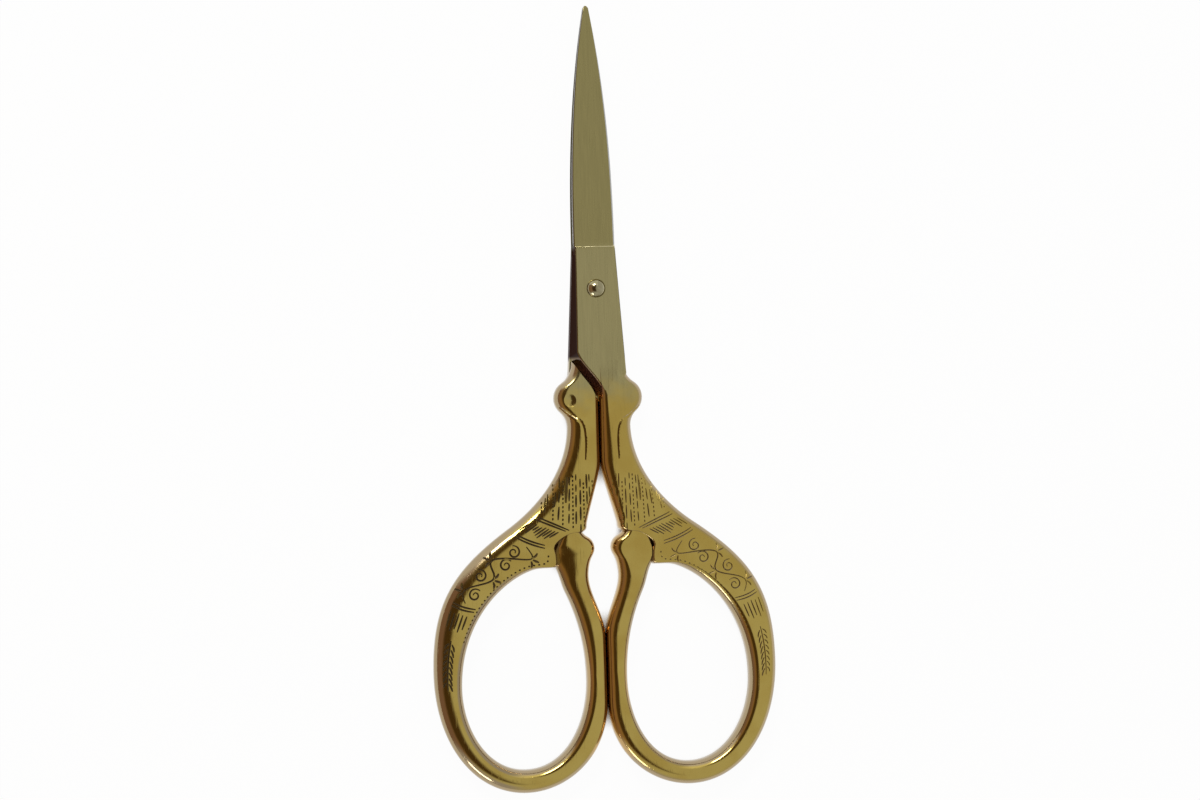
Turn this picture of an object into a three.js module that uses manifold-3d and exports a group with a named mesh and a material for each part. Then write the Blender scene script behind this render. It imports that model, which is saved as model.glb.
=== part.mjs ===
// Embroidery scissors: two forged halves that cross at one shouldered screw.
// Millimetres, +Z up. The scissors lie flat and closed, with the tips along +Y.
// The origin is on the pivot axis, in the plane of the surface they lie on.
import * as THREE from 'three';
import { mergeVertices } from 'three/addons/utils/BufferGeometryUtils.js';
import Module from 'manifold-3d';

const wasm = await Module();
wasm.setup();

// Sizes called drop are distances below the pivot, and offsets are from the centre line.

// Handle section
const handleThickness = 3.5;
const sideBand = 0.5; // upright band at the middle of a rounded side
const bowGap = 0.2; // daylight between the closed halves

// Ricasso, the thick flat where the halves cross
const ricassoThickness = 1.5;
const bladeGap = 0.1; // running gap between the two flats
const ricassoTop = 5.5; // pivot to the step at the blade
const ricassoBackTop = 2.56; // half width on the blade's back side, at the step
const ricassoBackHeel = 2.74; // the same, at the heel
const ricassoFrontTop = 2.65; // half width on the handle's side, at the step
const ricassoFrontFoot = 3.66; // the same, where the collar bead begins
const ricassoFoot = 11.1; // pivot to the collar bead
const heelDrop = 8.2; // the heel, where the slanting lower edge begins
const toeDrop = 13.4; // the toe, where it ends
const toeOffset = 0.6; // the toe's distance past the centre line
const heelHeading = -68; // degrees, direction of the slanting edge at the heel
const toeHeading = -72; // the same, at the toe
const ricassoEdge = 0.15; // softened edge of the flat
const wallLean = 0.9; // how far the slanting wall leans out at its foot
const shoulderClearance = 1.2; // from the slanting edge to the other half's shoulder
const shoulderSlope = 1.2; // run of the soft step from the flat up to the handle's face

// Blade
const tipReach = 36.9; // pivot to the tip
const bladeRootThickness = 1.15;
const bladeTipThickness = 0.45;
const bladeBackRoot = 2.72; // centre line to the back, at the ricasso
const bladeEdgeRoot = 2.84; // centre line to the cutting edge, at the ricasso
const bladeTipHalf = 0.36;
const bladeNose = 0.3; // length of the blunted tip
const noseShare = 0.4; // how much of the tip's size is left at the very end
const bladeTaper = 2.4; // power of the curve from root to tip
const cuttingEdge = 0.1; // thickness left at the edge
const edgeBevel = 0.3; // width of the ground bevel at the root
const bevelShare = 0.82; // how far up the blade's thickness the bevel reaches
const backRound = 0.22; // softened corner of the back

// Collar bead and shank
const shankTopOffset = 3.4; // outer side, where the shank leaves the flat
const shankTopDrop = 9.4;
const beadRadius = 2.4;
const beadOffset = 3.4;
const beadDrop = 14.15;
const beadRimTop = 58; // degrees round the bead where the outer side joins it
const beadRimFoot = -48; // and leaves it
const neckOffset = 4.15; // outer side at the shank's narrow place
const neckFall = 3.85; // from the bead's middle down to there
const crotchDrop = 22.2; // where the two shanks part
const flareOffset = 12.2; // where the outer side turns from hollow to round
const flareDrop = 30.7;
const flareHeading = -34.6; // degrees, direction of the outer side there

// Inner bead, the curled end of the bow. Rises and falls are from the level of its middle.
const innerBeadRadius = 1.7;
const innerBeadReach = 1.1; // centre line to its crown
const innerBeadDrop = 33.6;
const innerRimFoot = 212; // degrees round the bead where the bow's side joins it
const innerRimTop = 118; // and leaves it
const waistOffset = 2.0; // widest place of the gap between the shanks
const waistRise = 3.3;
const notchOffset = 2.25; // notch between the shoulder and the bead
const notchRise = 2.35;
const valleyTopOffset = 4.6; // the shoulder's lower side, beside the curled end
const valleyTopRise = 1.7;
const valleyOffset = 6.25;
const valleyRise = 0.5;
const valleyFootOffset = 6.15;
const valleyFootFall = 0.9;
const cornerOffset = 6.45; // upper corner of the finger opening
const cornerFall = 2.35;
const curlFootOffset = 6.2; // edge of the curled end, under the shoulder
const curlFootFall = 2.5;
const curlOffset = 6.55;
const curlFall = 1.3;
const curlTopOffset = 6.5;
const endOuterOffset = 3.2; // the curled end's two corners, inside the shoulder
const endOuterRise = 2.9;
const endInnerOffset = 5.4;
const endInnerRise = 2.0;
const curlDip = 0.18; // how far the curled end sinks below the shoulder's face

// Finger bow
const bowWidth = 22.4; // from the face that meets the other bow
const bowWideDrop = 49.1; // widest place
const bowReach = 64.8; // pivot to the lowest point
const bowLowOffset = 10.75;
const bowMeetDrop = 49.2; // middle of the stretch where the bows meet
const bowMeetLength = 8;
const limbNeckOffset = 2.0; // inner side just below the inner bead
const limbNeckFall = 3.3;
const innerLimb = 2.55; // width of the limb beside the other bow
const outerLimb = 3.6; // width of the limb on the outside
const lowerLimb = 2.95; // width of the limb at the bottom
const openingTopOffset = 9.4;
const openingTopFall = 2.6; // from the inner bead's middle
const openingWideSag = 2.0; // the opening's widest place, below the bow's
const openingInnerSag = 1.3; // the opening's inner side, below the middle of the meeting stretch
const limbInnerOffset = 5.1; // the opening's side where the limb turns up into the curl
const limbInnerFall = 5.7;

// Pivot screw
const screwShank = 1.7; // diameter in the front half
const screwThread = 1.3; // diameter in the rear half
const screwHead = 2.4;
const headRim = 0.1; // upright rim under the dome
const headDome = 0.7;
const runningClearance = 0.05; // around the shank and the thread
const seatClearance = 0.04; // under the head

// Fineness of the meshes
const sectionSpacing = 1.05; // between two sections of the ribbon
const sideSteps = 4; // faces from a side's band up to the flat
const slantSteps = 8;
const bladeSteps = 14;
const domeSteps = 7;
const roundSteps = 32;
const weldDistance = 1e-4;

const halfThickness = handleThickness / 2;
const innerFace = bladeGap / 2;
const flatFace = innerFace + ricassoThickness;
const meetFace = bowGap / 2;
const far = tipReach + bowReach; // larger than anything that is cut
const down = -90; // headings in degrees
const up = 90;
const toCentre = 180;

// Places that face each other across the handle's ribbon, counted in knots along each side, and
// how far each side's rounding reaches in. The shank ends and the bow's end begins at the meeting.
const meeting = { outer: 8.5, inner: 11, outerRound: 1.45, innerRound: 1.05 };
const shankStations = [
  { outer: 0, inner: 0, outerRound: 1.2, innerRound: 1.0 },
  { outer: 1, inner: 0.23, outerRound: 1.5, innerRound: 1.1 },
  { outer: 3, inner: 0.52, outerRound: 1.6, innerRound: 1.2 },
  { outer: 4.28, inner: 1, outerRound: 2.1, innerRound: 1.7 },
  { outer: 4.57, inner: 2, outerRound: 2.3, innerRound: 1.1 },
  { outer: 4.72, inner: 3, outerRound: 2.4, innerRound: 0.6 },
  { outer: 5, inner: 5, outerRound: 2.5, innerRound: 0.4 },
  { outer: 5.13, inner: 7, outerRound: 2.5, innerRound: 0.5 },
  { outer: 5.27, inner: 8.08, outerRound: 2.5, innerRound: 1.2 },
  { outer: 6, inner: 9, outerRound: 2.25, innerRound: 1.3 },
  { outer: 7, inner: 10, outerRound: 1.75, innerRound: 1.15 },
  meeting,
];
const curlStations = [
  meeting,
  { outer: 10, inner: 12.37, outerRound: 1.6, innerRound: 2.0 },
  { outer: 11.68, inner: 14, outerRound: 1.2, innerRound: 4.2 },
  { outer: 12.4, inner: 14.5, outerRound: 1.2, innerRound: 3.0 },
  { outer: 13, inner: 15, outerRound: 1.2, innerRound: 1.9 },
  { outer: 14, inner: 16, outerRound: 0.9, innerRound: 0.8 },
];
const roundedShare = 0.97; // most of a section's width that the two roundings take

// An outline is a chain of knots: a place, the heading there in degrees, and how far
// the curve keeps that heading before and after, as a share of the distance to the next knot.
const knot = (x, y, heading, before = 0.36, after = 0.36) => ({ x, y, heading, before, after });

// A knot on a bead's rim, for a path that runs clockwise round it.
function rimKnot(x, y, radius, degrees) {
  const angle = THREE.MathUtils.degToRad(degrees);
  return knot(x + radius * Math.cos(angle), y + radius * Math.sin(angle), degrees + down);
}

function curveThrough(knots) {
  const path = new THREE.Path();
  path.moveTo(knots[0].x, knots[0].y);
  for (let i = 1; i < knots.length; i += 1) {
    const from = knots[i - 1];
    const to = knots[i];
    const reach = Math.hypot(to.x - from.x, to.y - from.y);
    const out = THREE.MathUtils.degToRad(from.heading);
    const into = THREE.MathUtils.degToRad(to.heading);
    path.bezierCurveTo(
      from.x + reach * from.after * Math.cos(out),
      from.y + reach * from.after * Math.sin(out),
      to.x - reach * to.before * Math.cos(into),
      to.y - reach * to.before * Math.sin(into),
      to.x,
      to.y,
    );
  }
  return path;
}

// The share of a path's whole length at a place counted in knots.
function shareAt(path, count) {
  const lengths = [0, ...path.getCurveLengths()];
  const last = Math.floor(count);
  const next = Math.min(last + 1, lengths.length - 1);
  return THREE.MathUtils.lerp(lengths[last], lengths[next], count - last) / lengths.at(-1);
}

function toSolid(geometry) {
  const bare = geometry.clone();
  bare.deleteAttribute('normal');
  bare.deleteAttribute('uv');
  const merged = mergeVertices(bare, weldDistance);
  const vertProperties = new Float32Array(merged.attributes.position.array);
  const triVerts = new Uint32Array(merged.index.array);
  return new wasm.Manifold(new wasm.Mesh({ numProp: 3, vertProperties, triVerts }));
}

function toGeometry(solid) {
  const { vertProperties, triVerts } = solid.getMesh();
  const geometry = new THREE.BufferGeometry();
  geometry.setAttribute('position', new THREE.BufferAttribute(vertProperties, 3));
  geometry.setIndex(new THREE.BufferAttribute(triVerts, 1));
  geometry.computeVertexNormals();
  return geometry;
}

// A closed skin over rings of points that have the same count.
function loft(rings) {
  const count = rings[0].length;
  const positions = rings.flat().flatMap((p) => [p.x, p.y, p.z]);
  const faces = [];
  for (let r = 0; r + 1 < rings.length; r += 1) {
    for (let i = 0; i < count; i += 1) {
      const a = r * count + i;
      const b = r * count + ((i + 1) % count);
      faces.push(a, a + count, b, b, a + count, b + count);
    }
  }
  const last = (rings.length - 1) * count;
  for (let i = 1; i + 1 < count; i += 1) {
    faces.push(0, i, i + 1);
    faces.push(last, last + i + 1, last + i);
  }
  const geometry = new THREE.BufferGeometry();
  geometry.setAttribute('position', new THREE.Float32BufferAttribute(positions, 3));
  geometry.setIndex(faces);
  return toSolid(geometry);
}

// Each half is drawn with its handle towards +X and its flat above z = 0.

// The slanting lower edge of the flat runs from the heel to the toe.
const heel = new THREE.Vector2(-ricassoBackHeel, -heelDrop);
const toe = new THREE.Vector2(toeOffset, -toeDrop);

// The region of a handle that makes room for the other half's flat: everything
// above a line that runs along the other half's slanting edge, at the clearance.
function lapRegion() {
  const otherHeel = new THREE.Vector2(-heel.x, heel.y);
  const otherToe = new THREE.Vector2(-toe.x, toe.y);
  const along = otherHeel.clone().sub(otherToe).normalize();
  const away = new THREE.Vector2(along.y, -along.x).multiplyScalar(shoulderClearance);
  const low = otherToe.clone().addScaledVector(along, -far).add(away);
  const high = otherHeel.clone().addScaledVector(along, far).add(away);
  return new THREE.Shape([low, high, new THREE.Vector2(low.x, high.y)]);
}

// The ribbon's outer side runs down the shank, round the bow and up into the curled end.
function outerSide() {
  const beadMiddle = (beadRimTop + beadRimFoot) / 2;
  const innerBeadOffset = innerBeadReach + innerBeadRadius;
  const innerRimMiddle = (innerRimFoot + innerRimTop) / 2;
  const rim = (degrees) => rimKnot(beadOffset, -beadDrop, beadRadius, degrees);
  const innerRim = (degrees) => rimKnot(innerBeadOffset, -innerBeadDrop, innerBeadRadius, degrees);
  return curveThrough([
    knot(shankTopOffset, -shankTopDrop, down),
    rim(beadRimTop),
    rim(beadMiddle),
    rim(beadRimFoot),
    knot(neckOffset, -beadDrop - neckFall, -88, 0.4, 0.4),
    knot(flareOffset, -flareDrop, flareHeading, 0.27, 0.42),
    knot(meetFace + bowWidth, -bowWideDrop, down, 0.44, 0.46),
    knot(bowLowOffset, -bowReach, toCentre, 0.35, 0.32),
    knot(meetFace, -bowMeetDrop - bowMeetLength / 2, up, 0.48, 0.36),
    knot(meetFace, -bowMeetDrop + bowMeetLength / 2, up),
    knot(limbNeckOffset, -innerBeadDrop - limbNeckFall, 94, 0.3, 0.3),
    innerRim(innerRimFoot),
    innerRim(innerRimMiddle),
    innerRim(innerRimTop),
    knot(endOuterOffset, -innerBeadDrop + endOuterRise, 55),
  ]);
}

// The inner side runs down between the shanks, along the shoulder and round the finger opening.
function innerSide() {
  const waistDrop = innerBeadDrop - waistRise;
  const parting = Math.atan2(crotchDrop - waistDrop, waistOffset - meetFace);
  return curveThrough([
    knot(meetFace, -shankTopDrop, down),
    knot(meetFace, -crotchDrop, down, 0.36, 0.2),
    knot(waistOffset, -waistDrop, THREE.MathUtils.radToDeg(parting), 0.36, 0.4),
    knot(notchOffset, -innerBeadDrop + notchRise, -46),
    knot(valleyTopOffset, -innerBeadDrop + valleyTopRise, -27),
    knot(valleyOffset, -innerBeadDrop + valleyRise, -52),
    knot(valleyFootOffset, -innerBeadDrop - valleyFootFall, -92),
    knot(cornerOffset, -innerBeadDrop - cornerFall, -6),
    knot(openingTopOffset, -innerBeadDrop - openingTopFall, -17, 0.36, 0.22),
    knot(meetFace + bowWidth - outerLimb, -bowWideDrop - openingWideSag, down, 0.5, 0.38),
    knot(bowLowOffset, -bowReach + lowerLimb, toCentre, 0.38, 0.38),
    knot(meetFace + innerLimb, -bowMeetDrop - openingInnerSag, up, 0.4, 0.32),
    knot(limbInnerOffset, -innerBeadDrop - limbInnerFall, 65),
    knot(curlFootOffset, -innerBeadDrop - curlFootFall, 66),
    knot(curlOffset, -innerBeadDrop - curlFall, 88),
    knot(curlTopOffset, -innerBeadDrop, 108),
    knot(endInnerOffset, -innerBeadDrop + endInnerRise, 140),
  ]);
}

// One section across the ribbon, from the outer side's upper edge round to the inner side's.
function ribbonSection(outer, inner, height, outerRound, innerRound) {
  const width = outer.distanceTo(inner);
  const shrink = Math.min(1, (roundedShare * width) / (outerRound + innerRound));
  const rising = [];
  for (let i = 0; i <= sideSteps; i += 1) {
    rising.push(((i / sideSteps) * Math.PI) / 2);
  }
  const falling = rising.toReversed();
  const ring = [];
  const add = (from, to, round, angle, face) => {
    const inset = round * shrink * (1 - Math.cos(angle));
    const place = from.clone().lerp(to, inset / width);
    const rise = sideBand / 2 + (height - sideBand / 2) * Math.sin(angle);
    ring.push(new THREE.Vector3(place.x, place.y, face * rise));
  };
  falling.forEach((angle) => add(outer, inner, outerRound, angle, 1));
  rising.forEach((angle) => add(outer, inner, outerRound, angle, -1));
  falling.forEach((angle) => add(inner, outer, innerRound, angle, -1));
  rising.forEach((angle) => add(inner, outer, innerRound, angle, 1));
  return ring;
}

// Sections from station to station. The last stretch sinks by the dip.
function ribbon(outer, inner, stations, dip) {
  const { lerp } = THREE.MathUtils;
  const rings = [];
  for (let i = 1; i < stations.length; i += 1) {
    const from = stations[i - 1];
    const to = stations[i];
    const outerFrom = shareAt(outer, from.outer);
    const outerTo = shareAt(outer, to.outer);
    const innerFrom = shareAt(inner, from.inner);
    const innerTo = shareAt(inner, to.inner);
    const outerSpan = (outerTo - outerFrom) * outer.getLength();
    const innerSpan = (innerTo - innerFrom) * inner.getLength();
    const steps = Math.max(2, Math.round(Math.max(outerSpan, innerSpan) / sectionSpacing));
    const isLast = i === stations.length - 1;
    for (let k = i === 1 ? 0 : 1; k <= steps; k += 1) {
      const share = k / steps;
      rings.push(ribbonSection(
        outer.getPoint(lerp(outerFrom, outerTo, share)),
        inner.getPoint(lerp(innerFrom, innerTo, share)),
        halfThickness - (isLast ? dip * share * share : 0),
        lerp(from.outerRound, to.outerRound, share),
        lerp(from.innerRound, to.innerRound, share),
      ));
    }
  }
  return loft(rings);
}

function handleSolid() {
  const outer = outerSide();
  const inner = innerSide();
  const body = ribbon(outer, inner, shankStations, 0);
  const curl = ribbon(outer, inner, curlStations, curlDip);
  const lap = new THREE.ExtrudeGeometry(lapRegion(), { depth: far, bevelEnabled: false });
  lap.translate(0, 0, innerFace - far);
  const step = new THREE.ExtrudeGeometry(lapRegion(), {
    depth: far,
    bevelThickness: halfThickness - flatFace,
    bevelSize: shoulderSlope,
    bevelOffset: -shoulderSlope,
    bevelSegments: 1,
  });
  step.translate(0, 0, halfThickness);
  return body.add(curl).subtract(toSolid(lap)).subtract(toSolid(step));
}

// An outline that runs counter-clockwise, moved inwards.
function inset(points, distance) {
  return points.map((point, i) => {
    const arrive = point.clone().sub(points.at(i - 1)).normalize();
    const leave = points[(i + 1) % points.length].clone().sub(point).normalize();
    const inward = new THREE.Vector2(-arrive.y - leave.y, arrive.x + leave.x).normalize();
    const slant = leave.x * inward.y - leave.y * inward.x;
    return point.clone().addScaledVector(inward, distance / slant);
  });
}

const level = (points, z) => points.map((p) => new THREE.Vector3(p.x, p.y, z));

// The flat's back wall and slanting wall lean out to their foot.
function ricassoSolid() {
  const slantingEdge = curveThrough([
    knot(heel.x, heel.y, heelHeading),
    knot(toe.x, toe.y, toeHeading),
  ]);
  const slant = slantingEdge.getPoints(slantSteps);
  const lean = new THREE.Vector2(toe.y - heel.y, heel.x - toe.x).setLength(wallLean);
  const front = new THREE.Vector2(ricassoFrontTop, ricassoTop);
  const sole = [
    new THREE.Vector2(beadOffset - beadRadius / 2, -(beadDrop + toeDrop) / 2),
    new THREE.Vector2(ricassoFrontFoot, -ricassoFoot),
  ];
  const back = new THREE.Vector2(-ricassoBackTop, ricassoTop);
  const backFoot = new THREE.Vector2(-Math.max(bladeBackRoot, ricassoBackTop), ricassoTop);
  const rim = [front, back, ...slant, ...sole];
  const foot = [front, backFoot, ...slant.map((p) => p.clone().add(lean)), ...sole];
  return loft([
    level(inset(rim, ricassoEdge), flatFace),
    level(rim, flatFace - ricassoEdge),
    level(foot, innerFace),
  ]);
}

function bladeSection(y, back, edge, thickness, bevel, round) {
  return [
    new THREE.Vector3(-back, y, innerFace),
    new THREE.Vector3(edge, y, innerFace),
    new THREE.Vector3(edge, y, innerFace + Math.min(cuttingEdge, thickness / 2)),
    new THREE.Vector3(edge - bevel, y, innerFace + thickness * bevelShare),
    new THREE.Vector3(-back + round, y, innerFace + thickness),
    new THREE.Vector3(-back, y, innerFace + thickness - round),
  ];
}

function bladeSolid() {
  const root = ricassoTop - bladeRootThickness;
  const length = tipReach - bladeNose - root;
  const rings = [];
  for (let i = 0; i <= bladeSteps; i += 1) {
    const along = i / bladeSteps;
    const fall = 1 - along ** bladeTaper;
    const back = bladeTipHalf + (bladeBackRoot - bladeTipHalf) * fall;
    const edge = bladeTipHalf + (bladeEdgeRoot - bladeTipHalf) * fall;
    const thickness = THREE.MathUtils.lerp(bladeRootThickness, bladeTipThickness, along);
    const bevel = (edgeBevel * edge) / bladeEdgeRoot;
    const round = (backRound * thickness) / bladeRootThickness;
    rings.push(bladeSection(root + length * along, back, edge, thickness, bevel, round));
  }
  const nose = bladeTipHalf * noseShare;
  const corner = nose * noseShare;
  rings.push(bladeSection(tipReach, nose, nose, bladeTipThickness * noseShare, corner, corner));
  return loft(rings);
}

function boreSolid(diameter) {
  const bore = new THREE.CylinderGeometry(diameter / 2, diameter / 2, far, roundSteps);
  return toSolid(bore.rotateX(Math.PI / 2));
}

function half(name, material, boreDiameter) {
  const solid = handleSolid()
    .add(ricassoSolid())
    .add(bladeSolid())
    .subtract(boreSolid(boreDiameter));
  const mesh = new THREE.Mesh(toGeometry(solid), material);
  mesh.name = name;
  return mesh;
}

function pivotScrew(material) {
  const tail = -halfThickness;
  const seat = flatFace + seatClearance;
  const rim = seat + headRim;
  const chamfer = (screwShank - screwThread) / 4;
  const profile = [
    new THREE.Vector2(0, tail),
    new THREE.Vector2(screwThread / 2 - chamfer, tail),
    new THREE.Vector2(screwThread / 2, tail + chamfer),
    new THREE.Vector2(screwThread / 2, 0),
    new THREE.Vector2(screwShank / 2, 0),
    new THREE.Vector2(screwShank / 2, seat),
    new THREE.Vector2(screwHead / 2, seat),
  ];
  // the dome is a cap of a ball
  const ball = ((screwHead / 2) ** 2 + headDome ** 2) / (2 * headDome);
  const lowest = Math.asin(screwHead / 2 / ball);
  for (let i = 0; i < domeSteps; i += 1) {
    const angle = lowest * (1 - i / domeSteps);
    const height = headDome - ball * (1 - Math.cos(angle));
    profile.push(new THREE.Vector2(ball * Math.sin(angle), rim + height));
  }
  profile.push(new THREE.Vector2(0, rim + headDome));
  const geometry = new THREE.LatheGeometry(profile, roundSteps).rotateX(Math.PI / 2);
  const mesh = new THREE.Mesh(geometry, material);
  mesh.name = 'pivot_screw';
  return mesh;
}

const gilded = new THREE.MeshStandardMaterial({ color: 0xb9a04a, roughness: 0.22, metalness: 1 });
const steel = new THREE.MeshStandardMaterial({ color: 0x9a936f, roughness: 0.3, metalness: 1 });

const scissors = new THREE.Group();
scissors.position.z = halfThickness;

const front = half('front_half', gilded, screwShank + 2 * runningClearance);
scissors.add(front);

const rearSide = new THREE.Group();
rearSide.rotation.y = Math.PI;
rearSide.add(half('rear_half', gilded.clone(), screwThread + 2 * runningClearance));
scissors.add(rearSide);

scissors.add(pivotScrew(steel));

export default scissors;
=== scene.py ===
import math

import bpy
from mathutils import Matrix, Vector
from mathutils.bvhtree import BVHTree
from mathutils.geometry import interpolate_bezier


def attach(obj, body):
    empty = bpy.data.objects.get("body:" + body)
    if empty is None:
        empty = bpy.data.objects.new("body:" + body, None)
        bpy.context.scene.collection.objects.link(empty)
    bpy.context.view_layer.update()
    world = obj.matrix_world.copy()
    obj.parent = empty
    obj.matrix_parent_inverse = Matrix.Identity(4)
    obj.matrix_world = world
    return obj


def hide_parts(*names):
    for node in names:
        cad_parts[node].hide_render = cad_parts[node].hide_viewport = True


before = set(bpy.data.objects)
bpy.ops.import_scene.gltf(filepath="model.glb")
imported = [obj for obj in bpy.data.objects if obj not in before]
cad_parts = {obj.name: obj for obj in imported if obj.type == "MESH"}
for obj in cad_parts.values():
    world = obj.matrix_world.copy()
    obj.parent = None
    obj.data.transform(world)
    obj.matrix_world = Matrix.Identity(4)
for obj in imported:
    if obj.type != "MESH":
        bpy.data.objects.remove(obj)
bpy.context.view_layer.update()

# Embroidery scissors, modelled in millimetres about the pivot and brought to metres at the end.
# Each half is drawn with its bow towards +X and its flat above z = 0. The rear one is then turned over.
mm = 0.001
scene = bpy.context.scene


def deselectAll():
    if bpy.context.mode != "OBJECT":
        bpy.ops.object.mode_set(mode="OBJECT")
    bpy.ops.object.select_all(action="DESELECT")


def makeActive(obj):
    deselectAll()
    obj.select_set(True)
    bpy.context.view_layer.objects.active = obj


def meshObject(name, points, faces):
    mesh = bpy.data.meshes.new(name)
    mesh.from_pydata([tuple(p) for p in points], [], faces)
    obj = bpy.data.objects.new(name, mesh)
    scene.collection.objects.link(obj)
    makeActive(obj)
    bpy.ops.object.mode_set(mode="EDIT")
    bpy.ops.mesh.select_all(action="SELECT")
    bpy.ops.mesh.normals_make_consistent(inside=False)
    bpy.ops.object.mode_set(mode="OBJECT")
    return obj


# A closed skin over rings that have the same number of points.
def loftRings(name, rings):
    count = len(rings[0])
    points = [p for ring in rings for p in ring]
    faces = []
    for r in range(len(rings) - 1):
        for i in range(count):
            j = (i + 1) % count
            faces.append((r * count + i, r * count + j, (r + 1) * count + j, (r + 1) * count + i))
    last = (len(rings) - 1) * count
    faces.append(tuple(reversed(range(count))))
    faces.append(tuple(range(last, last + count)))
    return meshObject(name, points, faces)


def combine(obj, other, how, solver="EXACT", selfCrossing=False):
    makeActive(obj)
    cut = obj.modifiers.new("join", "BOOLEAN")
    cut.operation = how
    cut.solver = solver
    cut.use_self = selfCrossing
    cut.object = other
    bpy.ops.object.modifier_apply(modifier=cut.name)
    bpy.data.objects.remove(other, do_unlink=True)


# Outlines: a knot is a place, the heading there in degrees, and how far the curve keeps that
# heading before and after, as a share of the distance to the next knot.
usualReach = 0.36


def knot(x, y, heading, before=usualReach, after=usualReach):
    return {"place": Vector((x, y, 0)), "heading": math.radians(heading), "before": before, "after": after}


# A knot on a bead's rim, for a path that runs clockwise round it.
def rimKnot(centre, radius, degrees):
    angle = math.radians(degrees)
    return knot(centre[0] + radius * math.cos(angle), -centre[1] + radius * math.sin(angle), degrees - 90)


def headingOf(k):
    return Vector((math.cos(k["heading"]), math.sin(k["heading"]), 0))


def pathThrough(knots, steps):
    points = []
    for a, b in zip(knots, knots[1:]):
        reach = (b["place"] - a["place"]).length
        leave = a["place"] + headingOf(a) * reach * a["after"]
        arrive = b["place"] - headingOf(b) * reach * b["before"]
        points += interpolate_bezier(a["place"], leave, arrive, b["place"], steps + 1)[:-1]
    points.append(knots[-1]["place"].copy())
    return points


def lengthsAlong(points):
    lengths = [0.0]
    for a, b in zip(points, points[1:]):
        lengths.append(lengths[-1] + (b - a).length)
    return lengths


def pointAt(points, lengths, distance):
    for i in range(1, len(points)):
        if lengths[i] >= distance:
            share = (distance - lengths[i - 1]) / max(lengths[i] - lengths[i - 1], 1e-9)
            return points[i - 1].lerp(points[i], share)
    return points[-1].copy()


# The handle is one forged ribbon: shank with its collar bead, shoulder and finger bow, whose end
# curls up beside the shoulder. Places are (distance from the centre line, distance below the pivot).
handle = {
    "halfThick": 1.75,
    "sideFlat": 0.25,       # half the height of the upright part of a side
    "gap": 0.012,           # centre line to the side that meets the other half
    "roundedShare": 0.97,   # most of a section's width that its roundings may take
    "sectionSpacing": 0.42,
    "pathSteps": 120,       # points between two knots of a side
    "sideSteps": 9,
    "flatSteps": 4,
    "top": (3.4, 9.4),
    "beadPlace": (3.4, 14.15),
    "beadRadius": 2.4,
    "beadRim": (58, 0, -48),  # degrees where the outline joins and leaves the bead
    "neck": (4.15, 18.0),
    "flare": (12.2, 30.7),
    "flareHeading": -34.6,
    "wide": (22.5, 49.1),
    "low": (10.75, 64.8),
    "meet": 49.2,
    "meetLength": 8.0,
    "limbNeck": (2.0, 36.9),
    "innerBeadPlace": (2.8, 33.6),
    "innerBeadRadius": 1.7,
    "innerBeadRim": (212, 165, 118),
    "crotch": 22.2,
    "waist": (2.0, 30.3),
    "notch": (2.25, 31.25),
    "valley": ((4.6, 31.9), (6.25, 33.1), (6.15, 34.5)),    # shoulder's foot beside the curled end
    "openingCorner": (6.45, 35.95),
    "openingTop": (9.4, 36.2),
    "openingRight": (18.9, 51.1),
    "openingLow": (10.75, 61.85),
    "openingLeft": (2.65, 50.5),
    "limbInner": (5.1, 39.3),
    "curl": ((6.2, 36.1), (6.55, 34.9), (6.5, 33.6)),       # the curled end's edge, under the shoulder
    "curlOuter": (3.2, 30.7),
    "curlInner": (5.4, 31.6),
    "curlDip": 0.18,        # how far the curled end lies below the shoulder's face
    "dimplePlace": (4.0, 14.45),
    "dimpleRadius": {"front": 0.6, "rear": 0.9},
    "dimpleDepth": {"front": 0.04, "rear": 0.18},
    "crease": [(5.25, 15.3), (3.95, 16.45), (2.6, 17.3), (2.15, 19.1), (2.2, 22.1)],
    "creaseWidth": 0.5,
    "creaseDepth": 0.12,
    "creaseSteps": 15,
    "smoothAngle": 32,
}


# One section across the ribbon, each side rounded over its own reach.
def ribbonSection(outer, inner, halfThick, roundings):
    width = (inner - outer).length
    across = (inner - outer) / width
    shrink = min(1.0, handle["roundedShare"] * width / sum(roundings))
    reachOuter, reachInner = (r * shrink for r in roundings)
    flat = handle["sideFlat"]
    quarter = [math.pi / 2 * k / handle["sideSteps"] for k in range(handle["sideSteps"] + 1)]
    flatSteps = handle["flatSteps"]
    ring = []

    def add(distance, z):
        p = outer + across * distance
        ring.append((p.x, p.y, z))

    def height(angle):
        return flat + (halfThick - flat) * math.sin(angle)

    for angle in reversed(quarter):
        add(reachOuter * (1 - math.cos(angle)), -height(angle))
    for angle in quarter:
        add(reachOuter * (1 - math.cos(angle)), height(angle))
    for k in range(1, flatSteps):
        add(reachOuter + (width - reachOuter - reachInner) * k / flatSteps, halfThick)
    for angle in reversed(quarter):
        add(width - reachInner * (1 - math.cos(angle)), height(angle))
    for angle in quarter:
        add(width - reachInner * (1 - math.cos(angle)), -height(angle))
    for k in range(1, flatSteps):
        add(width - reachInner - (width - reachOuter - reachInner) * k / flatSteps, -halfThick)
    return ring


def placed(spot, heading, before=usualReach, after=usualReach):
    return knot(spot[0], -spot[1], heading, before, after)


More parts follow.
